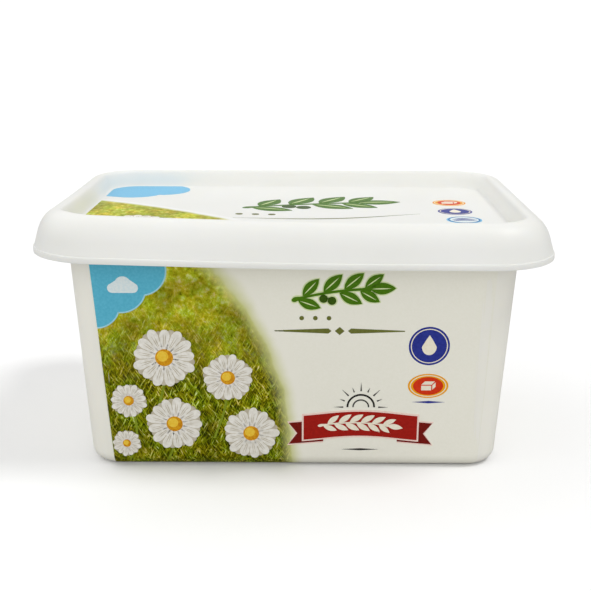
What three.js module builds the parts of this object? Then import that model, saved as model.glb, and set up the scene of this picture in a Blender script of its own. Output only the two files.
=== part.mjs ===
// A shut rectangular cheese tub with its press-on lid, in millimetres, +Z up.
// The origin is the middle of the base, +X runs along the tub's length and its front faces -Y.
// A place across the rim is an inset from the lid's hem outline and a height over the hem.

import * as THREE from "three";

// Lid, measured over the hem
const LID_LENGTH = 192;
const LID_WIDTH = 136;
const LID_CORNER = 25.6;
const LID_WALL = 1;
const HEM_LEVEL = 82.7;

// Rolled hem and flaring skirt
const BEAD_HEIGHT = 1.9;
const BEAD_PROUD = 0.4;
const BEAD_ROUND = 0.6;
const HEM_INNER_INSET = 1.3;
const SKIRT_HEIGHT = 6.7;
const SKIRT_INSET = 1.8;

// Broad rim over the skirt, and the sunken panel inside it
const CREST_HEIGHT = 14.7;
const CREST_INSET = 10;
const SHOULDER_RISE = 3.35;
const CREST_RUN = 4.8;
const CREST_FALL_RUN = 2.6;
const PANEL_INSET = 14.1;
const PANEL_DROP = 6.85;
const PANEL_COVE = 1.6;

// The lid's front left corner isn't pressed home: it stands up, and the lid eases down from it
const CORNER_LIFT = 2.8;
const LIFT_REACH = 125;

// Tub, whose walls draw in towards the base
const TUB_LENGTH_AT_HEM = 166.6;
const TUB_LENGTH_AT_BASE = 157;
const TUB_CORNER_AT_HEM = 12.9;
const TUB_CORNER_AT_BASE = 11.5;
const BASE_ROUND = 5.2;
const FLANGE_HEIGHT = 2.6;
const FLANGE_ROOT_HEIGHT = 1.8;
const LID_GAP = 0.35;

// Facets along one side, round one corner and along one curve of the rim
const LONG_SIDE_STEPS = 6;
const SHORT_SIDE_STEPS = 3;
const CORNER_STEPS = 8;
const SHOULDER_STEPS = 6;
const COVE_STEPS = 5;
const BEAD_STEPS = 2;
const BASE_ROUND_STEPS = 4;
const PANEL_RING_SCALES = [0.35, 0.7];

const OVERHANG = (LID_LENGTH - TUB_LENGTH_AT_HEM) / 2;
const WALL_DRAFT = (TUB_LENGTH_AT_HEM - TUB_LENGTH_AT_BASE) / 2 / HEM_LEVEL;

// One level outline: a rectangle with round corners, the same count of points at every size
function planOutline(halfLength, halfWidth, corner) {
  const x = halfLength - corner;
  const y = halfWidth - corner;
  const line = (x0, y0, x1, y1) =>
    new THREE.LineCurve(new THREE.Vector2(x0, y0), new THREE.Vector2(x1, y1));
  const arc = (cx, cy, turns) =>
    new THREE.EllipseCurve(cx, cy, corner, corner, turns * 2 * Math.PI, (turns + 0.25) * 2 * Math.PI);
  const pieces = [
    [line(-x, -halfWidth, x, -halfWidth), LONG_SIDE_STEPS],
    [arc(x, -y, -0.25), CORNER_STEPS],
    [line(halfLength, -y, halfLength, y), SHORT_SIDE_STEPS],
    [arc(x, y, 0), CORNER_STEPS],
    [line(x, halfWidth, -x, halfWidth), LONG_SIDE_STEPS],
    [arc(-x, y, 0.25), CORNER_STEPS],
    [line(-halfLength, y, -halfLength, -y), SHORT_SIDE_STEPS],
    [arc(-x, -y, 0.5), CORNER_STEPS],
  ];
  return pieces.flatMap(([curve, steps]) => curve.getPoints(steps).slice(0, -1));
}

// A ring of points at one inset from the hem outline
function ringAt(inset, level, corner = LID_CORNER - inset) {
  const outline = planOutline(LID_LENGTH / 2 - inset, LID_WIDTH / 2 - inset, corner);
  return outline.map((point) => new THREE.Vector3(point.x, point.y, level));
}

// The same ring drawn in towards the middle, for the flat stretches
function shrunkRing(ring, scale) {
  return ring.map((point) => new THREE.Vector3(point.x * scale, point.y * scale, point.z));
}

// A closed skin through rings that run from the top's middle, over the edge, to the underside's
function closedSkin(rings) {
  const count = rings[0].length;
  const topLevel = rings[0][0].z;
  const lastLevel = rings[rings.length - 1][0].z;
  const points = [new THREE.Vector3(0, 0, topLevel), ...rings.flat(), new THREE.Vector3(0, 0, lastLevel)];
  const at = (ring, step) => 1 + ring * count + (step % count);
  const index = [];
  for (let step = 0; step < count; step++) {
    index.push(0, at(0, step), at(0, step + 1));
    for (let ring = 0; ring < rings.length - 1; ring++) {
      index.push(at(ring, step), at(ring + 1, step), at(ring + 1, step + 1));
      index.push(at(ring, step), at(ring + 1, step + 1), at(ring, step + 1));
    }
    index.push(points.length - 1, at(rings.length - 1, step + 1), at(rings.length - 1, step));
  }
  const geometry = new THREE.BufferGeometry().setFromPoints(points);
  geometry.setIndex(index);
  geometry.computeVertexNormals();
  return geometry;
}

// The skirt's slope from the bead up, then the shoulder to the crest, then the fall to the panel
function rimCurves() {
  const skirtFoot = new THREE.Vector2(BEAD_PROUD, BEAD_HEIGHT);
  const skirtTop = new THREE.Vector2(SKIRT_INSET, SKIRT_HEIGHT);
  const crest = new THREE.Vector2(CREST_INSET, CREST_HEIGHT);
  const panelEdge = new THREE.Vector2(PANEL_INSET, CREST_HEIGHT - PANEL_DROP);
  const skirtSlope = skirtTop.clone().sub(skirtFoot).normalize();
  const shoulder = new THREE.CubicBezierCurve(
    skirtTop,
    skirtTop.clone().addScaledVector(skirtSlope, SHOULDER_RISE),
    new THREE.Vector2(CREST_INSET - CREST_RUN, CREST_HEIGHT),
    crest,
  );
  const cove = new THREE.CubicBezierCurve(
    crest,
    new THREE.Vector2(CREST_INSET + CREST_FALL_RUN, CREST_HEIGHT),
    new THREE.Vector2(PANEL_INSET - PANEL_COVE, panelEdge.y),
    panelEdge,
  );
  return [
    { curve: new THREE.LineCurve(skirtFoot, skirtTop), steps: 1 },
    { curve: shoulder, steps: SHOULDER_STEPS },
    { curve: cove, steps: COVE_STEPS },
  ];
}

// The rim's section from the skirt's foot to the panel's edge, moved inwards by one thickness
function rimSection(thickness) {
  const section = [];
  for (const { curve, steps } of rimCurves()) {
    const first = section.length ? 1 : 0;
    for (let step = first; step <= steps; step++) {
      const along = curve.getTangent(step / steps);
      const point = curve.getPoint(step / steps);
      section.push(new THREE.Vector2(point.x + along.y * thickness, point.y - along.x * thickness));
    }
  }
  return section;
}

// The bead's outer face, from the hem's lower edge up
function beadSection() {
  const lowerRound = new THREE.EllipseCurve(
    BEAD_ROUND, BEAD_ROUND, BEAD_ROUND, BEAD_ROUND, 1.5 * Math.PI, Math.PI, true,
  );
  return [...lowerRound.getPoints(BEAD_STEPS), new THREE.Vector2(0, BEAD_HEIGHT - BEAD_PROUD)];
}

function sectionRings(section) {
  return section.map((point) => ringAt(point.x, HEM_LEVEL + point.y));
}

// How far the unseated corner raises the lid at a place, most at the crest of that corner
function liftAt(x, y) {
  const diagonal = (LID_CORNER - CREST_INSET) * Math.SQRT1_2;
  const cornerX = -LID_LENGTH / 2 + LID_CORNER - diagonal;
  const cornerY = -LID_WIDTH / 2 + LID_CORNER - diagonal;
  const nearness = Math.max(0, 1 - Math.hypot(x - cornerX, y - cornerY) / LIFT_REACH);
  return CORNER_LIFT * nearness ** 2;
}

function raiseCorner(geometry) {
  const position = geometry.getAttribute("position");
  for (let i = 0; i < position.count; i++) {
    position.setZ(i, position.getZ(i) + liftAt(position.getX(i), position.getY(i)));
  }
  geometry.computeVertexNormals();
}

// A thin cap: panel, rim, skirt and bead outside, and the same shape a wall further in beneath
function lidGeometry() {
  const outside = sectionRings([...beadSection(), ...rimSection(0)]).reverse();
  const beneath = sectionRings([new THREE.Vector2(HEM_INNER_INSET, 0), ...rimSection(LID_WALL)]);
  const panelTop = PANEL_RING_SCALES.map((scale) => shrunkRing(outside[0], scale));
  const panelBeneath = PANEL_RING_SCALES.map((scale) => shrunkRing(beneath[beneath.length - 1], scale));
  const geometry = closedSkin([...panelTop, ...outside, ...beneath, ...panelBeneath.reverse()]);
  raiseCorner(geometry);
  return geometry;
}

// The wall at one level, with its own corner radius
function wallRing(level, cutBack) {
  const share = level / HEM_LEVEL;
  const corner = THREE.MathUtils.lerp(TUB_CORNER_AT_BASE, TUB_CORNER_AT_HEM, share);
  return ringAt(OVERHANG + WALL_DRAFT * (HEM_LEVEL - level) + cutBack, level, corner - cutBack);
}

// The rounded foot of the wall, from the wall down to the flat base
function baseRoundRings() {
  const rings = [];
  for (let step = 0; step <= BASE_ROUND_STEPS; step++) {
    const turn = (step / BASE_ROUND_STEPS) * (Math.PI / 2);
    rings.push(wallRing(BASE_ROUND * (1 - Math.sin(turn)), BASE_ROUND * (1 - Math.cos(turn))));
  }
  return rings;
}

// The filled tub: its rim stands up inside the lid's rim, and a flange runs out under it
function tubGeometry() {
  const rim = rimSection(LID_WALL + LID_GAP).slice(1);
  const skirtShare = (FLANGE_HEIGHT - BEAD_HEIGHT) / (SKIRT_HEIGHT - BEAD_HEIGHT);
  const flangeEdge = rimSection(LID_WALL + LID_GAP)[0].lerp(rim[0], skirtShare);
  const rimRings = sectionRings([flangeEdge, ...rim]).reverse();
  const flangeRoot = wallRing(HEM_LEVEL + FLANGE_ROOT_HEIGHT, 0);
  return closedSkin([...rimRings, flangeRoot, ...baseRoundRings()]);
}

function namedMesh(name, geometry, colour, roughness) {
  const material = new THREE.MeshStandardMaterial({ color: colour, roughness, metalness: 0 });
  const mesh = new THREE.Mesh(geometry, material);
  mesh.name = name;
  return mesh;
}

const group = new THREE.Group();
group.add(namedMesh("tub", tubGeometry(), 0xe6e3da, 0.42));
group.add(namedMesh("lid", lidGeometry(), 0xf3f3ef, 0.38));

export default group;
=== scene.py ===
"""A shut cheese tub with a press-on lid, modelled and finished over its measured frame.

The frame gives the overall sizes. The lid and the tub are rebuilt here as smooth moulded
plastic, and the print of the front and of the lid lies on them as thin films of ink, each a
simple field of colour or a plain shape. Sizes are in millimetres unless a name says metres.
"""

import logging
import math
from dataclasses import dataclass, field
from enum import Enum

import bpy
from mathutils import Matrix, Vector


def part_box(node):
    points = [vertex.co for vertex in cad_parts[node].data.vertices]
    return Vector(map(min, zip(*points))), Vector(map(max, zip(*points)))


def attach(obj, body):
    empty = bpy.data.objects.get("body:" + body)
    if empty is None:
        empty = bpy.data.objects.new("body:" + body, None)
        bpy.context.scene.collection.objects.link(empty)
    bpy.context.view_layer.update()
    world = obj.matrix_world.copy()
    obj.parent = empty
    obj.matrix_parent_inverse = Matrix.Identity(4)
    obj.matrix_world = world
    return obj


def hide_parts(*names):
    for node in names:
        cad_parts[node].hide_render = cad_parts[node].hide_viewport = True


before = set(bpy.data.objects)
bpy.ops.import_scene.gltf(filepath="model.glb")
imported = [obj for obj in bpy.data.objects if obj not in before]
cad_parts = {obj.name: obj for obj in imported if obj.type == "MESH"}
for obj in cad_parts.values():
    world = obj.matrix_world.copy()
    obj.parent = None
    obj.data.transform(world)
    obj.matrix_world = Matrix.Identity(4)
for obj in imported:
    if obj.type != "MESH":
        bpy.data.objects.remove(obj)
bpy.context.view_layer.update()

LOG = logging.getLogger("tub")
MM = 0.001
ROOT = "root"

# Both the plastic and the clear skin over the ink are polypropylene
PLASTIC_IOR = 1.49
# A mix node's two colour inputs, which share their names with its other inputs
MIX_A, MIX_B = 6, 7
# A step inwards this short or shorter counts as none
NO_STEP = 1e-6
# Stretches between two points of a printed outline, and how near points are merged
CURVE_STEPS = 10
WELD = 0.01
# A leaf's outline from its root, as shares of its length and half width, and where it is sharp
LEAF_PROFILE = (
    (0.0, 0.0, True),
    (0.22, 0.72, False),
    (0.5, 1.0, False),
    (0.8, 0.6, False),
    (1.0, 0.0, True),
    (0.8, -0.6, False),
    (0.5, -1.0, False),
    (0.22, -0.72, False),
)
# One edge of a blunt petal from its narrow root, as shares of its length and half width
PETAL_PROFILE = ((0.0, 0.28), (0.45, 0.82), (0.78, 1.0), (0.97, 0.45))

Point = tuple[float, float]
Stops = list[tuple[float, str]]


def linear(code: str) -> tuple[float, float, float, float]:
    """Turns an sRGB hex colour to the linear values that a shader takes.

    Args:
        code: Six hex digits after a hash sign.

    Returns:
        Linear red, green and blue, and an alpha of one.
    """
    shares = [int(code[i : i + 2], 16) / 255 for i in (1, 3, 5)]
    curve = [s / 12.92 if s <= 0.04045 else ((s + 0.055) / 1.055) ** 2.4 for s in shares]
    return (*curve, 1.0)


def wire(node: bpy.types.Node, inputs: dict) -> None:
    """Sets a node's inputs, each to a value or to what another node gives out.

    Args:
        node: The node whose inputs are set.
        inputs: Input name or place to a value, an output, or a node with one output in use.
    """
    for key, value in inputs.items():
        if isinstance(value, bpy.types.Node):
            value = next(output for output in value.outputs if output.enabled)
        if isinstance(value, bpy.types.NodeSocket):
            node.id_data.links.new(value, node.inputs[key])
        else:
            node.inputs[key].default_value = value


def add_node(
    tree: bpy.types.NodeTree,
    kind: str,
    inputs: dict | None = None,
    stops: Stops | None = None,
    **settings: object,
) -> bpy.types.Node:
    """Adds one node with its settings, its input values and its links.

    Args:
        tree: The node tree that gets the node.
        kind: The node's type name.
        inputs: What its inputs are set to.
        stops: A ramp's places from 0 to 1 with their sRGB hex colours.
        **settings: Properties of the node itself.

    Returns:
        The new node.
    """
    node = tree.nodes.new(kind)
    for name, value in settings.items():
        setattr(node, name, value)
    wire(node, inputs or {})
    if stops:
        elements = node.color_ramp.elements
        while len(elements) < len(stops):
            elements.new(0.5)
        for element, (place, code) in zip(elements, stops):
            element.position, element.color = place, linear(code)
    return node


def object_millimetres(tree: bpy.types.NodeTree) -> bpy.types.Node:
    """Gives a node whose vector is the place on the object in millimetres."""
    place = add_node(tree, "ShaderNodeTexCoord").outputs["Object"]
    return add_node(tree, "ShaderNodeMapping", {"Vector": place, "Scale": (1 / MM,) * 3})


def start_material(name: str) -> tuple[bpy.types.Material, bpy.types.Node]:
    """Makes a node material with its principled shader.

    Args:
        name: The material's name.

    Returns:
        The material and the shader node.
    """
    material = bpy.data.materials.new(name)
    material.use_nodes = True
    return material, material.node_tree.nodes["Principled BSDF"]


@dataclass(frozen=True)
class MouldedPolypropylene:
    """White polypropylene from a polished mould: milky, a little see-through, softly glossy.

    Its haze comes from light that scatters a millimetre or so under the skin, and its sheen is
    broken by the faint orange peel that thin mouldings cool with.
    """

    name: str
    pale: str
    deep: str
    roughness: float
    peel_height: float
    scatter: float = 0.22
    scatter_reach: float = 1.6
    scatter_tint: tuple[float, float, float] = (1.0, 0.92, 0.75)
    peel_grain: float = 1.7
    peel_strength: float = 0.35
    cloud_size: float = 38.0
    polished: float = 0.04
    dulled: float = 0.06

    def material(self) -> bpy.types.Material:
        """Builds the plastic's node material."""
        material, shader = start_material(self.name)
        tree = material.node_tree
        place = object_millimetres(tree)
        # Slow clouds of tone: the wall's thickness varies, so the milk lets more or less through
        clouds = add_node(
            tree,
            "ShaderNodeTexNoise",
            {"Vector": place, "Scale": 1 / self.cloud_size, "Detail": 2.0, "Roughness": 0.5},
        )
        stops = [(0.3, self.deep), (0.7, self.pale)]
        tone = add_node(tree, "ShaderNodeValToRGB", {"Fac": clouds}, stops)
        # Orange peel, with wavelets near two millimetres and a few micrometres high
        peel = add_node(
            tree,
            "ShaderNodeTexNoise",
            {"Vector": place, "Scale": 1 / self.peel_grain, "Detail": 3.0, "Roughness": 0.45},
        )
        height = self.peel_height * MM
        relief = {"Height": peel, "Strength": self.peel_strength, "Distance": height}
        # Handling leaves the gloss slightly uneven in patches of a few centimetres
        low, high = self.roughness - self.polished, self.roughness + self.dulled
        gloss = {"Value": clouds, "To Min": low, "To Max": high}
        wire(
            shader,
            {
                "Base Color": tone,
                "Normal": add_node(tree, "ShaderNodeBump", relief),
                "Roughness": add_node(tree, "ShaderNodeMapRange", gloss),
                "IOR": PLASTIC_IOR,
                "Subsurface Weight": self.scatter,
                "Subsurface Radius": self.scatter_tint,
                "Subsurface Scale": self.scatter_reach * MM,
            },
        )
        return material


@dataclass(frozen=True)
class PrintedInk:
    """Offset ink under the clear skin of a moulded-in film: flat colour, faintly mottled."""

    name: str
    colour: str
    mottle: str
    roughness: float = 0.36
    sheen_level: float = 0.1
    mottle_size: float = 0.9
    uneven: float = 0.03

    def material(self) -> bpy.types.Material:
        """Builds the ink's node material."""
        material, shader = start_material(self.name)
        tree = material.node_tree
        place = object_millimetres(tree)
        # Print mottle: the film takes the ink in soft specks of about a millimetre
        grain = {"Vector": place, "Scale": 1 / self.mottle_size, "Detail": 3.0}
        specks = add_node(tree, "ShaderNodeTexNoise", grain)
        stops = [(0.35, self.mottle), (0.65, self.colour)]
        low, high = self.roughness - self.uneven, self.roughness + self.uneven
        gloss = {"Value": specks, "To Min": low, "To Max": high}
        wire(
            shader,
            {
                "Base Color": add_node(tree, "ShaderNodeValToRGB", {"Fac": specks}, stops),
                "Roughness": add_node(tree, "ShaderNodeMapRange", gloss),
                "IOR": PLASTIC_IOR,
                "Specular IOR Level": self.sheen_level,
            },
        )
        return material


@dataclass(frozen=True)
class Hill:
    """The printed meadow's round far edge, an ellipse where the grass is half faded.

    The width of its fade and how ragged it is are shares of the ellipse's reach.
    """

    centre: Point
    reach: Point
    fade: float
    ragged: float


@dataclass(frozen=True)
class MeadowPrint:
    """A printed meadow: short grass in yellow-greens that fades out softly at its far edge.

    The grass is drawn as a print shows it. Near the foot of the pack single blades a few
    millimetres long stand over dark tufts, and higher up they blur into soft paler blotches.
    """

    name: str
    hill: Hill
    up_axis: int
    low: float
    high: float
    paper: str
    shade: float = 0.0
    haze: str = "#ced08c"
    blade_length: float = 3.6
    blade_width: float = 0.62
    blade_leans: Point = (24.0, -31.0)
    blotch_size: float = 2.0
    tuft_size: float = 11.0
    tuft_tones: Point = (0.62, 1.16)
    patch_size: float = 5.0
    roughness: float = 0.36
    sheen_level: float = 0.04

    def _blades(self, tree: bpy.types.NodeTree, lean: float) -> bpy.types.Node:
        """Gives one layer of blades that lean one way.

        Args:
            tree: The node tree that gets the nodes.
            lean: How far the blades lean, in degrees.

        Returns:
            The layer's noise, high on a blade.
        """
        turn = [0.0, 0.0, 0.0]
        turn[3 - self.up_axis] = math.radians(lean)
        size = [self.blade_width * MM] * 3
        size[self.up_axis] = self.blade_length * MM
        place = add_node(tree, "ShaderNodeTexCoord").outputs["Object"]
        grid = {"Vector": place, "Rotation": turn, "Scale": size}
        leaning = add_node(tree, "ShaderNodeMapping", grid, vector_type="TEXTURE")
        grain = {"Vector": leaning, "Scale": 1.0, "Detail": 2.5, "Distortion": 0.9}
        return add_node(tree, "ShaderNodeTexNoise", grain)

    def _share_inside(self, tree: bpy.types.NodeTree, tufts: bpy.types.Node) -> bpy.types.Node:
        """Gives 1 well inside the far edge and 0 outside, with a ragged soft edge between.

        Args:
            tree: The node tree that gets the nodes.
            tufts: The noise that roughens the edge.

        Returns:
            The node that gives the share of grass.
        """
        across, along = self.hill.reach
        scale, shift = [1 / across / MM, 0.0, 0.0], [-self.hill.centre[0] / across, 0.0, 0.0]
        scale[self.up_axis] = 1 / along / MM
        shift[self.up_axis] = -self.hill.centre[1] / along
        place = add_node(tree, "ShaderNodeTexCoord").outputs["Object"]
        grid = {"Vector": place, "Scale": scale, "Location": shift}
        centred = add_node(tree, "ShaderNodeMapping", grid)
        reach = add_node(tree, "ShaderNodeVectorMath", {0: centred}, operation="LENGTH")
        roughening = {0: tufts, 1: self.hill.ragged, 2: reach}
        ragged = add_node(tree, "ShaderNodeMath", roughening, operation="MULTIPLY_ADD")
        half = 1 + self.hill.ragged / 2
        start, end = half - self.hill.fade / 2, half + self.hill.fade / 2
        spread = {"Value": ragged, "From Min": start, "From Max": end, "To Min": 1.0, "To Max": 0.0}
        return add_node(tree, "ShaderNodeMapRange", spread, interpolation_type="SMOOTHSTEP")

    def _grass(self, tree: bpy.types.NodeTree, place: bpy.types.Node) -> bpy.types.Node:
        """Gives the grass's colour, from single blades at the foot to blotches at the top.

        Args:
            tree: The node tree that gets the nodes.
            place: The place on the object in millimetres.

        Returns:
            The node that gives the colour.
        """
        level = add_node(tree, "ShaderNodeSeparateXYZ", {"Vector": place}).outputs[self.up_axis]
        rise = {"Value": level, "From Min": self.low, "From Max": self.high}
        layers = {number: self._blades(tree, lean) for number, lean in enumerate(self.blade_leans)}
        crossed = add_node(tree, "ShaderNodeMath", layers, operation="MAXIMUM")
        grain = {"Vector": place, "Scale": 1 / self.blotch_size, "Detail": 4.0, "Roughness": 0.68}
        blotches = add_node(tree, "ShaderNodeTexNoise", grain)
        blade_tones = [
            (0.42, "#2c2e00"),
            (0.5, "#5e6200"),
            (0.57, "#828700"),
            (0.64, "#b2b424"),
            (0.75, "#f0ebb4"),
        ]
        blotch_tones = [(0.28, "#716f00"), (0.42, "#b2af0e"), (0.54, "#d3cf34"), (0.7, "#f5f0a8")]
        blend = {
            "Factor": add_node(tree, "ShaderNodeMapRange", rise),
            MIX_A: add_node(tree, "ShaderNodeValToRGB", {"Fac": crossed}, blade_tones),
            MIX_B: add_node(tree, "ShaderNodeValToRGB", {"Fac": blotches}, blotch_tones),
        }
        return add_node(tree, "ShaderNodeMix", blend, data_type="RGBA")

    def material(self) -> bpy.types.Material:
        """Builds the meadow's node material."""
        material, shader = start_material(self.name)
        tree = material.node_tree
        place = object_millimetres(tree)
        grass = self._grass(tree, place)
        # Darker and lighter tufts of about a centimetre
        clumps = {"Vector": place, "Scale": 1 / self.tuft_size, "Detail": 3.0}
        tufts = add_node(tree, "ShaderNodeTexNoise", clumps)
        dark, light = (tone + self.shade for tone in self.tuft_tones)
        span = {"Value": tufts, "From Min": 0.35, "From Max": 0.65, "To Min": dark, "To Max": light}
        tuft = add_node(tree, "ShaderNodeMapRange", span)
        shaded = add_node(tree, "ShaderNodeVectorMath", {0: grass, 1: tuft}, operation="MULTIPLY")
        # Patches of fresher and of drier grass
        spots = {"Vector": place, "Scale": 1 / self.patch_size, "Detail": 4.0, "Roughness": 0.65}
        patches = add_node(tree, "ShaderNodeTexNoise", spots)
        hues = [(0.38, "#e9ffe9"), (0.6, "#fff0e0")]
        hue = add_node(tree, "ShaderNodeValToRGB", {"Fac": patches}, hues)
        varied = add_node(tree, "ShaderNodeVectorMath", {0: shaded, 1: hue}, operation="MULTIPLY")
        # Towards the far edge the grass pales through lime before it turns into bare film
        inside = self._share_inside(tree, tufts)
        margin = {"Value": inside, "From Min": 0.45, "From Max": 1.0}
        pale = add_node(tree, "ShaderNodeMapRange", margin)
        paling = {"Factor": pale, MIX_A: linear(self.haze), MIX_B: varied}
        hazy = add_node(tree, "ShaderNodeMix", paling, data_type="RGBA")
        bare = add_node(tree, "ShaderNodeMapRange", {"Value": inside, "From Max": 0.55})
        baring = {"Factor": bare, MIX_A: linear(self.paper), MIX_B: hazy}
        wire(
            shader,
            {
                "Base Color": add_node(tree, "ShaderNodeMix", baring, data_type="RGBA"),
                "Roughness": self.roughness,
                "IOR": PLASTIC_IOR,
                "Specular IOR Level": self.sheen_level,
            },
        )
        return material


class Finish(Enum):
    """The finishes that the pieces are dressed in."""

    LID_PLASTIC = MouldedPolypropylene(
        "lid_polypropylene", "#edede9", "#eaeae5", 0.42, 0.012, scatter=0.3, scatter_reach=1.0
    )
    TUB_PLASTIC = MouldedPolypropylene("tub_polypropylene", "#f6f4ea", "#f2f0e5", 0.36, 0.01)
    FRONT_FILM = PrintedInk("off_white_film", "#f5f3e6", "#f3f1e3", sheen_level=0.5)
    SKY_BLUE = PrintedInk("sky_blue_ink", "#62bcd6", "#58b3ce")
    SKY_EDGE = PrintedInk("pale_blue_ink", "#a8dcea", "#9fd6e6")
    LID_BLUE = PrintedInk("lid_blue_ink", "#7dc3e6", "#6dbbe2")
    LEAF_GREEN = PrintedInk("leaf_green_ink", "#4c7a0c", "#436f08")
    LEAF_SHADE = PrintedInk("dark_leaf_ink", "#3a590b", "#334f08")
    LEAF_HALO = PrintedInk("lime_halo_ink", "#dde9b4", "#d6e3a8")
    OLIVE_LINE = PrintedInk("olive_line_ink", "#6f7436", "#666b2e")
    STEM_GREEN = PrintedInk("stem_green_ink", "#8a9a2a", "#77871c")
    PETAL_WHITE = PrintedInk("petal_white_ink", "#f3f0e8", "#e3dfd4", mottle_size=1.6)
    PETAL_SHADE = PrintedInk("petal_shade_ink", "#cbc3b0", "#b9b09a", mottle_size=1.6)
    HEART_YELLOW = PrintedInk("daisy_yellow_ink", "#e3a81f", "#c98312")
    HEART_LIGHT = PrintedInk("daisy_light_ink", "#f4cf4a", "#efc135")
    CLOUD_WHITE = PrintedInk("cloud_white_ink", "#e9f1f0", "#dcebee")
    DARK_LINE = PrintedInk("dark_line_ink", "#2c2a26", "#25231f")
    RED = PrintedInk("deep_red_ink", "#a81c13", "#9c1810")
    DARK_RED = PrintedInk("dark_red_ink", "#7a150e", "#6f110b")
    PALE_EDGE = PrintedInk("pale_rose_ink", "#f6ddd2", "#f2d5c9")
    AMBER = PrintedInk("amber_ink", "#f2ab16", "#eaa010")
    ORANGE_RED = PrintedInk("orange_red_ink", "#de3a17", "#d23312")
    NAVY = PrintedInk("navy_ink", "#2f3a96", "#283288")
    CREAM = PrintedInk("cream_ink", "#f6efdc", "#f1e9d3")
    FRONT_MEADOW = MeadowPrint(
        "printed_meadow", Hill((-80.0, 0.0), (79.6, 103.0), 0.13, 0.05), 2, 34.0, 80.0, "#f4f2e5"
    )
    LID_MEADOW = MeadowPrint(
        "printed_lid_meadow",
        Hill((-250.0, -280.0), (340.0, 340.0), 0.012, 0.006),
        1,
        -90.0,
        -10.0,
        "#f1f1ef",
        shade=0.06,
    )

    def dress(self, obj: bpy.types.Object) -> None:
        """Gives the object this finish, with one shared material for each finish."""
        material = bpy.data.materials.get(self.value.name) or self.value.material()
        obj.data.materials.clear()
        obj.data.materials.append(material)


def select_only(obj: bpy.types.Object) -> None:
    """Deselects all that is selected, then selects and activates one object."""
    bpy.ops.object.select_all(action="DESELECT")
    obj.select_set(True)
    bpy.context.view_layer.objects.active = obj


def edit(obj: bpy.types.Object) -> None:
    """Opens one object in edit mode with all of it selected."""
    select_only(obj)
    bpy.ops.object.mode_set(mode="EDIT")
    bpy.ops.mesh.select_all(action="SELECT")


def leave_edit() -> None:
    """Closes edit mode."""
    bpy.ops.object.mode_set(mode="OBJECT")


def apply_modifier(obj: bpy.types.Object, kind: str, **settings: object) -> None:
    """Adds one modifier and applies it.

    Args:
        obj: The object that gets the modifier.
        kind: The modifier's type name.
        **settings: The modifier's properties.
    """
    select_only(obj)
    modifier = obj.modifiers.new(kind.lower(), kind)
    for name, value in settings.items():
        setattr(modifier, name, value)
    bpy.ops.object.modifier_apply(modifier=modifier.name)


def apply_place(obj: bpy.types.Object) -> None:
    """Moves the object's place, turn and scale into its mesh."""
    select_only(obj)
    bpy.ops.object.transform_apply(location=True, rotation=True, scale=True)


def shade(obj: bpy.types.Object, degrees: float) -> None:
    """Smooths the object, keeping edges sharper than an angle.

    Args:
        obj: The object to shade.
        degrees: The angle past which an edge stays sharp.
    """
    select_only(obj)
    bpy.ops.object.shade_smooth_by_angle(angle=math.radians(degrees))


def bezier(p0: Point, p1: Point, p2: Point, p3: Point, steps: int) -> list[Point]:
    """Walks a cubic curve.

    Args:
        p0: The start.
        p1: The first handle.
        p2: The second handle.
        p3: The end.
        steps: How many stretches the walk has.

    Returns:
        The points after the start, up to the end.
    """
    walk = []
    for step in range(1, steps + 1):
        t = step / steps
        weights = ((1 - t) ** 3, 3 * t * (1 - t) ** 2, 3 * t * t * (1 - t), t**3)
        walk.append(tuple(sum(w * p[i] for w, p in zip(weights, (p0, p1, p2, p3))) for i in (0, 1)))
    return walk


def rounded_plate(
    name: str, length: float, width: float, corner: float, level: float, steps: int
) -> bpy.types.Object:
    """Models a level plate with round corners, and leaves it open in edit mode, all selected.

    Args:
        name: The new object's name.
        length: Its size along X.
        width: Its size along Y.
        corner: Its corner radius.
        level: Its height.
        steps: Facets round each corner.

    Returns:
        The new object.
    """
    bpy.ops.object.select_all(action="DESELECT")
    bpy.ops.mesh.primitive_plane_add(size=1)
    plate = bpy.context.object
    plate.name = plate.data.name = name
    edit(plate)
    bpy.ops.transform.resize(value=(length * MM, width * MM, 1))
    bpy.ops.transform.translate(value=(0, 0, level * MM))
    bpy.ops.mesh.bevel(offset=corner * MM, offset_type="OFFSET", segments=steps, affect="VERTICES")
    return plate


def step_face(inwards: float, onwards: float) -> None:
    """Steps the selected face inwards and along its normal, leaving a band behind it.

    Args:
        inwards: How far the outline draws in.
        onwards: How far the face moves along its normal.
    """
    if inwards > NO_STEP:
        bpy.ops.mesh.inset(thickness=inwards * MM, depth=onwards * MM)
    else:
        bpy.ops.mesh.extrude_region_shrink_fatten(
            TRANSFORM_OT_shrink_fatten={"value": onwards * MM}
        )


def shrink_face(across: float, along: float, down: float = 0.0) -> None:
    """Extrudes the selected face and scales it about the middle, moving it down if asked.

    Args:
        across: Scale along X.
        along: Scale along Y.
        down: How far it moves down.
    """
    bpy.ops.mesh.extrude_region_move(TRANSFORM_OT_translate={"value": (0, 0, -down * MM)})
    bpy.ops.transform.resize(value=(across, along, 1), center_override=(0, 0, 0))


def finish_piece(obj: bpy.types.Object, finish: Finish) -> None:
    """Dresses a finished piece and lets it ride on the pack.

    Args:
        obj: The piece.
        finish: What it is dressed in.
    """
    finish.dress(obj)
    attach(obj, ROOT)
    faces = len(obj.data.polygons)
    LOG.info("%s: %d faces, %s", obj.name, faces, finish.value.name)


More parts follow.
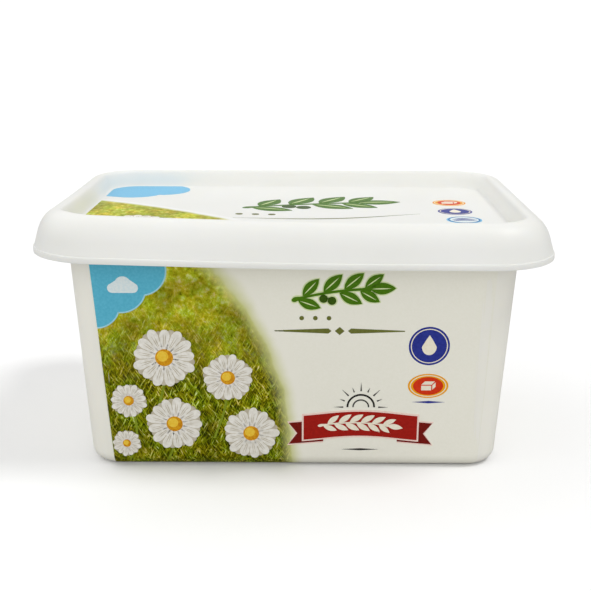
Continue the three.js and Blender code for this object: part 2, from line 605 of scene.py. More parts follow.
@dataclass
class Lid:
    """The press-on lid: bead, flaring skirt, broad rim and sunken panel in one thin wall."""

    corner: float = 25.6
    wall: float = 1.0
    hem_level: float = 82.35
    bead_face: float = 1.85
    bead_edge: Point = (0.12, 0.28)
    bead_proud: float = 0.4
    skirt_top: Point = (1.8, 7.05)
    crest: Point = (10.0, 15.05)
    shoulder_rise: float = 3.35
    crest_run: float = 4.8
    crest_fall_run: float = 2.6
    panel_edge: Point = (14.1, 8.2)
    panel_cove: float = 1.6
    lift: float = 2.8
    lift_reach: float = 125.0
    corner_steps: int = 20
    shoulder_steps: int = 16
    cove_steps: int = 12
    panel_bands: tuple[float, ...] = (0.9, 0.8, 0.75, 0.65, 0.5)
    side_cut: float = 9.0
    cut_share: float = 0.998
    edge_round: float = 0.42
    edge_steps: int = 4
    edge_angle: float = 55.0
    smooth_angle: float = 38.0
    obj: bpy.types.Object | None = field(default=None, init=False)

    def rim_walk(self) -> list[Point]:
        """Walks the rim's section from the bead's foot to the panel's edge.

        Returns:
            Places as an inset from the hem and a height over it.
        """
        bead_top = (self.bead_proud, self.bead_face + self.bead_proud)
        rise = Vector(self.skirt_top) - Vector(bead_top)
        lean = Vector(self.skirt_top) + rise.normalized() * self.shoulder_rise
        bead_edge = (self.bead_edge[0], self.bead_face + self.bead_edge[1])
        walk = [(0.0, self.bead_face), bead_edge, bead_top, self.skirt_top]
        before_crest = (self.crest[0] - self.crest_run, self.crest[1])
        walk += bezier(self.skirt_top, tuple(lean), before_crest, self.crest, self.shoulder_steps)
        after_crest = (self.crest[0] + self.crest_fall_run, self.crest[1])
        before_panel = (self.panel_edge[0] - self.panel_cove, self.panel_edge[1])
        walk += bezier(self.crest, after_crest, before_panel, self.panel_edge, self.cove_steps)
        return walk

    def _cut_sides(self, length: float, width: float) -> None:
        """Cuts the straight sides and the panel across, so that the lid can bend.

        Args:
            length: The lid's length.
            width: Its width.
        """
        for axis, size in enumerate((length, width)):
            half = size / 2 - self.corner
            count = math.ceil(2 * half / self.side_cut)
            for step in range(count + 1):
                place, normal = Vector(), Vector()
                # The outermost cuts stop just short of the edges where the corners start
                place[axis] = (step / count * 2 - 1) * half * self.cut_share * MM
                normal[axis] = 1.0
                bpy.ops.mesh.select_all(action="SELECT")
                bpy.ops.mesh.bisect(plane_co=place, plane_no=normal)

    def _raise_corner(self) -> None:
        """Lifts the front left corner, which isn't pressed home, and lets the lid ease down."""
        diagonal = (self.corner - self.crest[0]) * math.sqrt(0.5)
        low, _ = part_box("lid")
        inset = (self.corner - diagonal) * MM
        level = (self.hem_level + self.crest[1]) * MM
        corner = Vector((low.x + inset, low.y + inset, level))
        bpy.ops.mesh.select_all(action="DESELECT")
        leave_edit()
        nearest = min(self.obj.data.vertices, key=lambda v: (v.co - corner).length)
        nearest.select = True
        bpy.ops.object.mode_set(mode="EDIT")
        bpy.ops.transform.translate(
            value=(0, 0, self.lift * MM),
            use_proportional_edit=True,
            proportional_edit_falloff="SHARP",
            proportional_size=self.lift_reach * MM,
        )

    def build(self) -> bpy.types.Object:
        """Models the lid in the frame's box.

        Returns:
            The lid.
        """
        low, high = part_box("lid")
        size = (high - low) / MM
        self.obj = rounded_plate(
            "lid_shell", size.x, size.y, self.corner, self.hem_level, self.corner_steps
        )
        here = (0.0, 0.0)
        for there in self.rim_walk():
            step_face(there[0] - here[0], there[1] - here[1])
            here = there
        for share in self.panel_bands:
            shrink_face(share, share)
        self._cut_sides(size.x, size.y)
        self._raise_corner()
        leave_edit()
        wall = {"thickness": self.wall * MM, "offset": -1, "use_even_offset": True}
        apply_modifier(self.obj, "SOLIDIFY", **wall)
        apply_modifier(
            self.obj,
            "BEVEL",
            width=self.edge_round * MM,
            segments=self.edge_steps,
            limit_method="ANGLE",
            angle_limit=math.radians(self.edge_angle),
        )
        shade(self.obj, self.smooth_angle)
        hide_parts("lid")
        finish_piece(self.obj, Finish.LID_PLASTIC)
        return self.obj


@dataclass
class Tub:
    """The filled body: a flange under the lid, drawn-in walls, a rounded foot and a ringed base."""

    flange_inset: float = 3.35
    flange_level: float = 85.3
    flange_drop: float = 0.8
    flange_thickness: float = 2.6
    length_at_hem: float = 166.6
    length_at_base: float = 157.0
    hem_level: float = 82.7
    lid_corner: float = 25.6
    base_round: float = 5.2
    round_steps: int = 10
    corner_steps: int = 20
    ring_scale: Point = (0.9, 0.84)
    ring_groove: Point = (0.9, 0.9)
    gate_scale: Point = (0.045, 0.075)
    gate_step: Point = (0.3, 0.35)
    smooth_angle: float = 35.0
    obj: bpy.types.Object | None = field(default=None, init=False)

    def _walls(self, length: float, width: float) -> None:
        """Draws the walls down and in from the flange to the rounded foot.

        Args:
            length: The body's length where the flange springs.
            width: The body's width there.
        """
        draft = (self.length_at_hem - self.length_at_base) / 2 / self.hem_level
        fall = self.flange_level - self.flange_drop - self.base_round
        draw_in = 2 * draft * fall
        shrink_face(1 - draw_in / length, 1 - draw_in / width, fall)

    def _foot(self) -> None:
        """Rounds the wall's foot into the base, in equal turns."""
        here = (0.0, 0.0)
        for step in range(1, self.round_steps + 1):
            turn = math.pi / 2 * step / self.round_steps
            there = (self.base_round * (1 - math.cos(turn)), self.base_round * math.sin(turn))
            step_face(there[0] - here[0], there[1] - here[1])
            here = there

    def _base(self) -> None:
        """Sinks the base inside its standing ring and marks where the plastic was fed in."""
        shrink_face(*self.ring_scale)
        step_face(self.ring_groove[0], -self.ring_groove[1])
        shrink_face(*self.gate_scale)
        step_face(*self.gate_step)

    def _cap(self) -> None:
        """Closes the body over its flange, out of sight under the lid."""
        bpy.ops.mesh.select_all(action="DESELECT")
        bpy.ops.mesh.select_mode(type="EDGE")
        bpy.ops.mesh.select_non_manifold()
        bpy.ops.mesh.extrude_edges_move(
            TRANSFORM_OT_translate={"value": (0, 0, self.flange_thickness * MM)}
        )
        bpy.ops.mesh.edge_face_add()
        bpy.ops.mesh.select_all(action="SELECT")
        bpy.ops.mesh.normals_make_consistent(inside=False)
        bpy.ops.mesh.select_mode(type="FACE")

    def build(self) -> bpy.types.Object:
        """Models the tub under the lid.

        Returns:
            The tub.
        """
        low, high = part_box("lid")
        size = (high - low) / MM
        flange = Vector((size.x, size.y)) - Vector((2, 2)) * self.flange_inset
        corner = self.lid_corner - self.flange_inset
        self.obj = rounded_plate(
            "tub_body", flange.x, flange.y, corner, self.flange_level, self.corner_steps
        )
        bpy.ops.mesh.flip_normals()
        overhang = (size.x - self.length_at_hem) / 2 - self.flange_inset
        step_face(overhang, self.flange_drop)
        self._walls(flange.x - 2 * overhang, flange.y - 2 * overhang)
        self._foot()
        self._base()
        self._cap()
        leave_edit()
        shade(self.obj, self.smooth_angle)
        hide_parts("tub")
        finish_piece(self.obj, Finish.TUB_PLASTIC)
        return self.obj


@dataclass(frozen=True)
class Knot:
    """A point of a printed outline, sharp or on a smooth stretch."""

    x: float
    y: float
    sharp: bool = False


def filled_outline(name: str, knots: list[Knot]) -> bpy.types.Object:
    """Fills a closed outline as a flat sheet that faces up.

    Args:
        name: The new object's name.
        knots: The outline's points in order.

    Returns:
        The new flat object.
    """
    bpy.ops.object.select_all(action="DESELECT")
    bpy.ops.curve.primitive_bezier_circle_add(radius=1)
    shape = bpy.context.object
    shape.name = name
    curve = shape.data
    curve.dimensions = "2D"
    curve.fill_mode = "BOTH"
    curve.resolution_u = CURVE_STEPS
    curve.splines.clear()
    spline = curve.splines.new("BEZIER")
    spline.bezier_points.add(len(knots) - 1)
    spline.use_cyclic_u = True
    for point, knot in zip(spline.bezier_points, knots):
        point.co = (knot.x * MM, knot.y * MM, 0)
        point.handle_left_type = point.handle_right_type = "VECTOR" if knot.sharp else "AUTO"
    bpy.ops.object.convert(target="MESH")
    shape = bpy.context.object
    shape.name = shape.data.name = name
    edit(shape)
    bpy.ops.mesh.remove_doubles(threshold=WELD * MM)
    leave_edit()
    if sum(face.normal.z for face in shape.data.polygons) < 0:
        edit(shape)
        bpy.ops.mesh.flip_normals()
        leave_edit()
    return shape


def disc(name: str, centre: Point, radius: Point, steps: int = 48) -> bpy.types.Object:
    """Models a flat round or oval disc that faces up.

    Args:
        name: The new object's name.
        centre: Its middle.
        radius: Its half sizes.
        steps: Facets round it.

    Returns:
        The new flat object.
    """
    bpy.ops.object.select_all(action="DESELECT")
    bpy.ops.mesh.primitive_circle_add(vertices=steps, radius=MM, fill_type="NGON")
    shape = bpy.context.object
    shape.name = shape.data.name = name
    edit(shape)
    bpy.ops.transform.resize(value=(radius[0], radius[1], 1))
    bpy.ops.transform.translate(value=(centre[0] * MM, centre[1] * MM, 0))
    leave_edit()
    return shape


def hollow(shape: bpy.types.Object, width: float) -> None:
    """Cuts a flat shape out to a rim of one width.

    Args:
        shape: The flat shape, of one face.
        width: The rim's width.
    """
    edit(shape)
    bpy.ops.mesh.inset(thickness=width * MM, depth=0)
    bpy.ops.mesh.delete(type="FACE")
    leave_edit()


def joined(name: str, shapes: list[bpy.types.Object]) -> bpy.types.Object:
    """Joins shapes of one ink into one object.

    Args:
        name: The joined object's name.
        shapes: The shapes.

    Returns:
        The joined object.
    """
    bpy.ops.object.select_all(action="DESELECT")
    for shape in shapes:
        shape.select_set(True)
    bpy.context.view_layer.objects.active = shapes[0]
    if len(shapes) > 1:
        bpy.ops.object.join()
    shapes[0].name = shapes[0].data.name = name
    return shapes[0]


def turned(place: Point, angle: float, size: float = 1.0, about: Point = (0.0, 0.0)) -> Point:
    """Turns and scales a place, then moves it.

    Args:
        place: The place, before the turn.
        angle: The turn in degrees.
        size: The scale.
        about: Where the origin goes to.

    Returns:
        The new place.
    """
    cos, sin = math.cos(math.radians(angle)) * size, math.sin(math.radians(angle)) * size
    return about[0] + place[0] * cos - place[1] * sin, about[1] + place[0] * sin + place[1] * cos


def arc(centre: Point, radius: float, start: float, end: float, steps: int = 6) -> list[Knot]:
    """Walks a stretch of a circle, sharp at both ends.

    Args:
        centre: The circle's middle.
        radius: Its radius.
        start: Where the walk starts, in degrees.
        end: Where it ends.
        steps: How many stretches it has.

    Returns:
        The knots of the walk.
    """
    turns = [start + (end - start) * step / steps for step in range(steps + 1)]
    places = [turned((radius, 0.0), turn, about=centre) for turn in turns]
    return [Knot(*place, number in (0, steps)) for number, place in enumerate(places)]


def dot(centre: Point, radius: float, steps: int = 12, gap: float = 15.0) -> list[Knot]:
    """Outlines a round dot, whose last stretch is the gap that closes it.

    Args:
        centre: Its middle.
        radius: Its radius.
        steps: How many stretches it has besides the last.
        gap: The last stretch, in degrees.

    Returns:
        The outline's points.
    """
    return arc(centre, radius, 0, 360 - gap, steps)


def scallops(bulges: list[tuple[Point, float, float, float]], grow: float = 0.0) -> list[Knot]:
    """Walks an edge of round bulges.

    Args:
        bulges: The middle, the radius, and the start and end in degrees of each.
        grow: How much further out the edge lies.

    Returns:
        The knots of the walk.
    """
    walk = []
    for centre, radius, start, end in bulges:
        walk += arc(centre, radius + grow, start, end)
    return walk


def sharp_outline(places: list[Point]) -> list[Knot]:
    """Makes every corner of an outline sharp."""
    return [Knot(*place, True) for place in places]


def leaf(root: Point, angle: float, length: float, width: float, grow: float = 0.0) -> list[Knot]:
    """Outlines one lens-shaped leaf.

    Args:
        root: Where it springs from.
        angle: Its direction in degrees.
        length: Its length.
        width: Its widest width.
        grow: How much further the outline lies out, for a halo.

    Returns:
        The outline's points.
    """
    full, half = length + 2 * grow, width / 2 + grow
    knots = []
    for along, across, sharp in LEAF_PROFILE:
        place = turned((full * along - grow, half * across), angle, about=root)
        knots.append(Knot(*place, sharp))
    return knots


class Face(Enum):
    """The side of the pack that a print lies on.

    Each holds where a large film is cut, across and along, to bend with the plastic under it:
    at the front's side edges and foot, and all over the panel that the lid's raised corner tilts.
    """

    FRONT = (
        tuple(side * (64 + step) for side in (-1, 1) for step in range(14)),
        (5.3, 4.4, 3.6, 2.9, 2.3, 1.8, 1.4, 1.1),
    )
    LID = (range(-77, 78, 7), range(-49, 50, 7))


@dataclass
class PrintSheet:
    """One side's print: flat shapes laid on the plastic as films of ink, layer over layer."""

    face: Face
    carrier: bpy.types.Object
    slot: str
    layer_step: float = 0.05
    sunk: float = 0.03
    start_before: float = 100.0
    start_above: float = 120.0
    smooth_angle: float = 30.0
    count: int = field(default=0, init=False)

    def _slice(self, shape: bpy.types.Object) -> None:
        """Cuts a large flat shape where the plastic under it bends."""
        columns, rows = self.face.value
        cuts = [(Vector((x * MM, 0, 0)), Vector((1, 0, 0))) for x in columns]
        cuts += [(Vector((0, y * MM, 0)), Vector((0, 1, 0))) for y in rows]
        edit(shape)
        for place, normal in cuts:
            bpy.ops.mesh.select_all(action="SELECT")
            bpy.ops.mesh.bisect(plane_co=place, plane_no=normal)
        leave_edit()

    def lay(
        self, shape: bpy.types.Object, finish: Finish, layer: int, large: bool = False
    ) -> None:
        """Lays a flat shape on the plastic and gives it its thickness.

        Args:
            shape: The flat shape, drawn facing up, in millimetres of this side.
            finish: Its ink.
            layer: How many films deep it lies, from 1.
            large: Whether it bends with the plastic under it.
        """
        shape.name = shape.data.name = f"{self.face.name.lower()}_{shape.name}"
        if large:
            self._slice(shape)
        front = self.face is Face.FRONT
        if front:
            shape.rotation_euler = (math.pi / 2, 0, 0)
            shape.location = (0, -self.start_before * MM, 0)
        else:
            shape.location = (0, 0, self.start_above * MM)
        apply_place(shape)
        height = layer * self.layer_step
        apply_modifier(
            shape,
            "SHRINKWRAP",
            target=self.carrier,
            wrap_method="PROJECT",
            wrap_mode="ON_SURFACE",
            use_project_y=front,
            use_project_z=not front,
            use_positive_direction=front,
            use_negative_direction=not front,
            offset=height * MM,
        )
        apply_modifier(shape, "SOLIDIFY", thickness=(height + self.sunk) * MM, offset=-1)
        shade(shape, self.smooth_angle)
        finish_piece(shape, finish)
        self.count += 1

    def lay_all(
        self, name: str, outlines: list[list[Knot]], finish: Finish, layer: int, large: bool = False
    ) -> None:
        """Fills outlines of one ink, joins them and lays them as one film.

        Args:
            name: The film's name.
            outlines: The shapes' outlines.
            finish: Their ink.
            layer: How many films deep they lie.
            large: Whether they bend with the plastic under them.
        """
        shapes = [filled_outline(f"{name}_{i}", knots) for i, knots in enumerate(outlines)]
        self.lay(joined(name, shapes), finish, layer, large)


@dataclass(frozen=True)
class Daisy:
    """One printed daisy: a stem, two rings of petals and a domed heart.

    Sizes within the flower are shares of its radius, and the fold is its root, length and width.
    """

    centre: Point
    radius: float
    foot: Point
    turn: float = 0.0
    petals: int = 13
    petal_root: float = 0.24
    petal_widest: float = 0.7
    petal_fill: float = 0.94
    petal_waver: float = 0.06
    waver_step: float = 2.4
    fold: tuple[float, float, float] = (0.36, 0.46, 0.022)
    fold_spread: float = 0.42
    stem_width: float = 0.9
    stem_bow: float = 1.4

    def _petal(self, angle: float, length: float, width: float) -> list[Knot]:
        """Outlines a blunt petal that is narrow at its root."""
        outline = [*PETAL_PROFILE, *((along, -across) for along, across in reversed(PETAL_PROFILE))]
        inner = self.radius * self.petal_root
        places = [(inner + length * along, width / 2 * across) for along, across in outline]
        return [Knot(*turned(place, angle, about=self.centre)) for place in places]

    def folds(self) -> list[list[Knot]]:
        """Outlines the two thin folds that run along each petal."""
        start, length, width = (share * self.radius for share in self.fold)
        found = []
        for step in range(self.petals):
            for side in (-1, 1):
                spread = side * 90 / self.petals * self.fold_spread
                angle = self.turn + 360 * step / self.petals + spread
                root = turned((start, 0), angle, about=self.centre)
                found.append(leaf(root, angle, length, width))
        return found

    def ring(self, shift: float, reach: float) -> list[list[Knot]]:
        """Outlines one ring of petals.

        Args:
            shift: How far the ring is turned, in petals.
            reach: Its radius as a share of the flower's.

        Returns:
            The petals' outlines.
        """
        round_petals = 2 * math.pi * self.radius * self.petal_widest
        width = round_petals / self.petals * self.petal_fill
        found = []
        for step in range(self.petals):
            angle = self.turn + 360 * (step + shift) / self.petals
            uneven = 1 + self.petal_waver * math.sin(self.waver_step * step + self.turn)
            length = self.radius * (reach - self.petal_root) * uneven
            found.append(self._petal(angle, length, width))
        return found

    def heart(self, share: float, lift: float) -> list[Knot]:
        """Outlines the heart, or the light on it, a little above its middle."""
        x, y = self.centre
        up = lift * self.radius
        return dot((x - up, y + up), self.radius * share, steps=16, gap=10.0)

    def stem(self) -> list[Knot]:
        """Outlines the bowed stem."""
        (x, y), (foot_x, foot_y) = self.centre, self.foot
        bow, middle = (x + foot_x) / 2 + self.stem_bow, (y + foot_y) / 2
        walk = [Knot(foot_x, foot_y, True), Knot(bow, middle), Knot(x, y, True)]
        half = self.stem_width / 2
        right = [Knot(knot.x + half, knot.y, knot.sharp) for knot in walk]
        left = [Knot(knot.x - half, knot.y, knot.sharp) for knot in reversed(walk)]
        return right + left


def lay_daisies(sheet: PrintSheet, daisies: list[Daisy], layer: int) -> None:
    """Lays a bunch of daisies, from the stems up to the light on the hearts.

    Args:
        sheet: The side's print.
        daisies: The flowers.
        layer: The layer of the stems.
    """
    stems = [daisy.stem() for daisy in daisies]
    under = [petal for daisy in daisies for petal in daisy.ring(0.5, 0.95)]
    upper = [petal for daisy in daisies for petal in daisy.ring(0.0, 1.0)]
    folds = [fold for daisy in daisies for fold in daisy.folds()]
    hearts = [daisy.heart(0.29, 0.0) for daisy in daisies]
    lights = [daisy.heart(0.18, 0.05) for daisy in daisies]
    sheet.lay_all("daisy_stems", stems, Finish.STEM_GREEN, layer, True)
    sheet.lay_all("daisy_under_petals", under, Finish.PETAL_SHADE, layer + 1, True)
    sheet.lay_all("daisy_petals", upper, Finish.PETAL_WHITE, layer + 2, True)
    sheet.lay_all("daisy_folds", folds, Finish.PETAL_SHADE, layer + 3)
    sheet.lay_all("daisy_hearts", hearts, Finish.HEART_YELLOW, layer + 3)
    sheet.lay_all("daisy_lights", lights, Finish.HEART_LIGHT, layer + 4)


@dataclass(frozen=True)
class Sprig:
    """A leafy sprig on a bowed stem, with olives under it where an olive's radius is given.

    Places along the stem are shares of its length.
    """

    start: Point
    end: Point
    bow: float
    leaf_length: float
    leaf_width: float
    pairs: int
    lean: float = 34.0
    stem_width: float = 0.9
    olive: float = 0.0
    first_leaf: float = 0.1
    leaf_span: float = 0.78
    pair_shift: float = 0.03
    tip_leaf: float = 0.97
    least_leaf: float = 0.78
    root_rise: float = 0.6
    olives_every: int = 3
    olive_shift: float = 0.06
    olive_drops: tuple[Point, Point] = ((-0.5, -1.4), (1.5, -1.9))
    stem_steps: int = 8

    def _place(self, share: float) -> Vector:
        """Gives a place along the stem."""
        middle = (Vector(self.start) + Vector(self.end)) / 2 + Vector((0, self.bow))
        a, b = Vector(self.start).lerp(middle, share), middle.lerp(Vector(self.end), share)
        return a.lerp(b, share)

    def _heading(self, share: float) -> float:
        """Gives the stem's direction at a place, in degrees."""
        step = self._place(min(share + 0.01, 1)) - self._place(max(share - 0.01, 0))
        return math.degrees(math.atan2(step.y, step.x))

    def _leaf(self, root: Point, angle: float, size: float, grow: float, rib: bool) -> list[Knot]:
        """Outlines one leaf, or the rib in it."""
        length, width = self.leaf_length * size, self.leaf_width * size
        if rib:
            rib_root = turned((length * 0.1, 0), angle, about=root)
            return leaf(rib_root, angle, length * 0.72, width * 0.1)
        return leaf(root, angle, length, width, grow)

    def leaves(self, grow: float = 0.0, rib: bool = False) -> list[list[Knot]]:
        """Outlines every leaf.

        Args:
            grow: How much further out each outline lies, for a halo.
            rib: Whether only the thin line along each leaf's middle is wanted.

        Returns:
            The outlines.
        """
        found = []
        for step in range(self.pairs):
            share = self.first_leaf + self.leaf_span * step / (self.pairs - 1)
            # The leaves are longest a little past the stem's middle
            fullness = math.sin(math.pi * (0.15 + 0.8 * share))
            size = self.least_leaf + (1 - self.least_leaf) * fullness
            for side in (-1, 1):
                if self.olive and side < 0 and step % self.olives_every == 1:
                    continue
                nudge = share + self.pair_shift * side
                root = self._place(nudge) + Vector((0, side * self.stem_width * self.root_rise))
                angle = self._heading(nudge) + side * self.lean
                found.append(self._leaf(tuple(root), angle, size, grow, rib))
        tip = tuple(self._place(self.tip_leaf))
        found.append(self._leaf(tip, self._heading(1), 1.0, grow, rib))
        return found

    def olives(self, grow: float = 0.0) -> list[list[Knot]]:
        """Outlines the olives, two at each place that has no lower leaf.

        Args:
            grow: How much further out each outline lies.

        Returns:
            The outlines.
        """
        found = []
        for step in range(1, self.pairs, self.olives_every):
            share = self.first_leaf + self.olive_shift + self.leaf_span * step / (self.pairs - 1)
            for drop in self.olive_drops:
                centre = self._place(share) + Vector(drop) * self.olive
                found.append(dot(tuple(centre), self.olive + grow))
        return found

    def stem(self, grow: float = 0.0) -> list[Knot]:
        """Outlines the stem along its bow."""
        walk = [self._place(step / self.stem_steps) for step in range(self.stem_steps + 1)]
        half = Vector((0, self.stem_width / 2 + grow))
        outline = [place + half for place in walk] + [place - half for place in reversed(walk)]
        return [Knot(place.x, place.y) for place in outline]


class Motif(Enum):
    """The plain motifs that the badges carry, outlined in a circle of radius one.

    A point with a third number is a sharp one.
    """

    DROPLET = (
        ((0.0, 0.72, 1), (0.3, 0.22), (0.44, -0.16), (0.0, -0.58), (-0.44, -0.16), (-0.3, 0.22)),
    )
    BLOCK = (
        ((-0.75, 0.16, 1), (-0.35, 0.55, 1), (0.72, 0.55, 1), (0.36, 0.16, 1)),
        ((-0.75, 0.04, 1), (0.34, 0.04, 1), (0.34, -0.5, 1), (-0.75, -0.5, 1)),
        ((0.46, 0.1, 1), (0.8, 0.44, 1), (0.8, -0.08, 1), (0.46, -0.44, 1)),
    )
    SWELL = tuple(
        (
            (-0.9, y, 1),
            (-0.4, y + 0.42),
            (0.3, y + 0.4),
            (0.95, y - 0.1, 1),
            (0.3, y + 0.16),
            (-0.4, y + 0.14),
        )
        for y in (0.0, -0.45)
    )

    def outlines(self, centre: Point, size: float) -> list[list[Knot]]:
        """Outlines the motif at its place.

        Args:
            centre: The badge's middle.
            size: What its circle's radius becomes.

        Returns:
            The outlines.
        """
        return [
            [Knot(*turned((x, y), 0, size, centre), bool(sharp)) for x, y, *sharp in part]
            for part in self.value
        ]


@dataclass(frozen=True)
class Badge:
    """A small badge: a field, a thin ring, a core and a plain motif."""

    name: str
    motif: Motif
    centre: Point
    radius: Point
    field_ink: Finish
    core_ink: Finish
    line_ink: Finish
    core_share: float
    motif_share: float = 1.0
    ring_share: float = 0.9
    ring_width: float = 0.35

    def _oval(self, part: str, share: float) -> bpy.types.Object:
        """Models one part of the badge as an oval at a share of its size."""
        radius = (self.radius[0] * share, self.radius[1] * share)
        return disc(f"{self.name}_{part}", self.centre, radius)

    def lay(self, sheet: PrintSheet, layer: int) -> None:
        """Lays the badge.

        Args:
            sheet: The side's print.
            layer: The layer of its field.
        """
        sheet.lay(self._oval("field", 1.0), self.field_ink, layer)
        ring = self._oval("ring", self.ring_share)
        hollow(ring, self.ring_width)
        sheet.lay(ring, self.line_ink, layer + 1)
        sheet.lay(self._oval("core", self.core_share), self.core_ink, layer + 1)
        outlines = self.motif.outlines(
            self.centre, min(self.radius) * self.core_share * self.motif_share
        )
        sheet.lay_all(f"{self.name}_motif", outlines, self.line_ink, layer + 2)


@dataclass
class FrontPrint:
    """The front of the tub: film, sky, meadow with daisies, sprig, ribbon and two badges.

    The film's left and right edges are each given where they lie at the top and at the foot.
    """

    tub: bpy.types.Object
    top: float = 84.0
    foot: float = 0.9
    left_edge: Point = (-74.6, -69.0)
    right_edge: Point = (74.0, 70.6)
    border: float = 0.5
    ribbon_middle: Point = (25.4, 16.6)
    ribbon_half: Point = (21.5, 5.0)

    def _side(self, edge: Point, height: float) -> float:
        """Gives where a side edge of the film lies at a height."""
        share = (height - self.foot) / (self.top - self.foot)
        return edge[1] + (edge[0] - edge[1]) * share

    def _left(self, height: float) -> float:
        """Gives where the printed colour starts on the left."""
        return self._side(self.left_edge, height) + self.border

    def _film(self, sheet: PrintSheet) -> None:
        """Lays the off-white film over the whole front."""
        corners = [(self.left_edge, self.foot), (self.right_edge, self.foot)]
        corners += [(self.right_edge, self.top), (self.left_edge, self.top)]
        knots = sharp_outline([(self._side(edge, height), height) for edge, height in corners])
        sheet.lay(filled_outline("film", knots), Finish.FRONT_FILM, 1, large=True)

    def _meadow(self, sheet: PrintSheet) -> None:
        """Lays the meadow, whose far edge fades out inside its own outline."""
        hill, spread, steps = Finish.FRONT_MEADOW.value.hill, 1.1, 8
        low, high = self.foot + 0.05, self.top - 0.3
        across, along = hill.reach[0] * spread, hill.reach[1] * spread
        knots = [Knot(self._left(low), low, True), Knot(hill.centre[0] + across, low, True)]
        last = math.asin((high - hill.centre[1]) / along)
        for step in range(1, steps + 1):
            turn = last * step / steps
            x, y = across * math.cos(turn), along * math.sin(turn)
            knots.append(Knot(hill.centre[0] + x, hill.centre[1] + y, step == steps))
        knots.append(Knot(self._left(high), high, True))
        sheet.lay(filled_outline("meadow", knots), Finish.FRONT_MEADOW, 2, large=True)

    def _sky(self, sheet: PrintSheet) -> None:
        """Lays a corner of sky with a scalloped edge, and one small cloud in it."""
        bulges = [
            ((-56.0, 79.0), 9.5, 31, -80),
            ((-63.5, 72.5), 9.55, -18, -95),
            ((-73.0, 66.0), 9.2, -19, -84),
        ]
        high = self.top - 0.2
        for name, ink, layer, grow in (
            ("sky_edge", Finish.SKY_EDGE, 3, 0.55),
            ("sky", Finish.SKY_BLUE, 4, 0.0),
        ):
            edge = scallops(bulges, grow)
            low = edge[-1].y
            corners = [Knot(self._left(low), low, True), Knot(self._left(high), high, True)]
            sheet.lay_all(name, [edge + corners], ink, layer, True)
        puffs = [
            ((-58.4, 72.2), 1.9, -90, 62),
            ((-62.0, 73.6), 3.0, 38, 152),
            ((-65.9, 72.1), 1.8, 110, 270),
        ]
        sheet.lay_all("cloud", [scallops(puffs)], Finish.CLOUD_WHITE, 5)

    def _daisies(self, sheet: PrintSheet) -> None:
        """Lays the daisies over the meadow."""
        daisies = [
            Daisy((-48.0, 45.0), 11.6, (-52.0, 22.0), 4.0),
            Daisy((-24.5, 37.0), 9.4, (-30.0, 12.0), 21.0),
            Daisy((-62.0, 27.5), 6.8, (-60.0, 8.0), 38.0),
            Daisy((-45.0, 18.0), 10.6, (-48.0, 2.6), 55.0),
            Daisy((-63.5, 9.8), 5.4, (-62.5, 2.6), 11.0),
            Daisy((-16.0, 14.2), 10.4, (-20.0, 2.6), 29.0),
        ]
        lay_daisies(sheet, daisies, 3)

    def _sprig(self, sheet: PrintSheet) -> None:
        """Lays the sprig with its pale halo, then the beads and the rule under it."""
        sprig = Sprig((-0.5, 67.8), (28.5, 72.2), 1.8, 9.6, 4.4, 4, 34.0, 1.0, 1.55)
        halo = 0.5
        sheet.lay_all("halo", sprig.leaves(halo), Finish.LEAF_HALO, 2)
        sheet.lay_all("halo_olives", sprig.olives(halo), Finish.LEAF_HALO, 3)
        sheet.lay_all("halo_stem", [sprig.stem(halo)], Finish.LEAF_HALO, 4)
        sheet.lay_all("sprig_stem", [sprig.stem()], Finish.LEAF_GREEN, 5)
        sheet.lay_all("sprig_leaves", sprig.leaves(), Finish.LEAF_GREEN, 6)
        sheet.lay_all("sprig_ribs", sprig.leaves(rib=True), Finish.LEAF_HALO, 7)
        sheet.lay_all("sprig_olives", sprig.olives(), Finish.LEAF_SHADE, 7)
        beads = [dot((x, 60.8), 0.85, steps=10) for x in (3.0, 8.0, 13.0)]
        sheet.lay_all("beads", beads, Finish.OLIVE_LINE, 2)
        # Two tapered arms and a diamond between them, as places from the rule's middle
        x, y = 17.0, 55.8
        arm = [(3.0, 0.0), (4.2, 1.0), (24.0, 0.2), (24.0, -0.2), (4.2, -1.0)]
        rule = [[(x + side * dx, y + dy) for dx, dy in arm] for side in (-1, 1)]
        rule.append([(x - 1.8, y), (x, y + 1.6), (x + 1.8, y), (x, y - 1.6)])
        sheet.lay_all("rule", [sharp_outline(places) for places in rule], Finish.OLIVE_LINE, 2)

    def _ribbon_edge(self, grow: float) -> list[Knot]:
        """Outlines the ribbon's bowed band."""
        (x, y), (half, rise), bow = self.ribbon_middle, self.ribbon_half, 1.8
        half, rise = half + grow, rise + grow
        return [
            Knot(x - half, y - rise, True),
            Knot(x, y - rise + bow),
            Knot(x + half, y - rise, True),
            Knot(x + half, y + rise, True),
            Knot(x, y + rise + bow),
            Knot(x - half, y + rise, True),
        ]

    def _tail(self, side: int, grow: float) -> list[Knot]:
        """Outlines one swallow tail of the ribbon."""
        x, y = self.ribbon_middle
        places = [
            (14.0, -5.6 - grow),
            (27.2 + grow, -6.8 - grow),
            (23.9 + grow, -2.3),
            (27.2 + grow, 2.0 + grow),
            (14.0, 3.2 + grow),
        ]
        return sharp_outline([(x + side * dx, y + dy) for dx, dy in places])

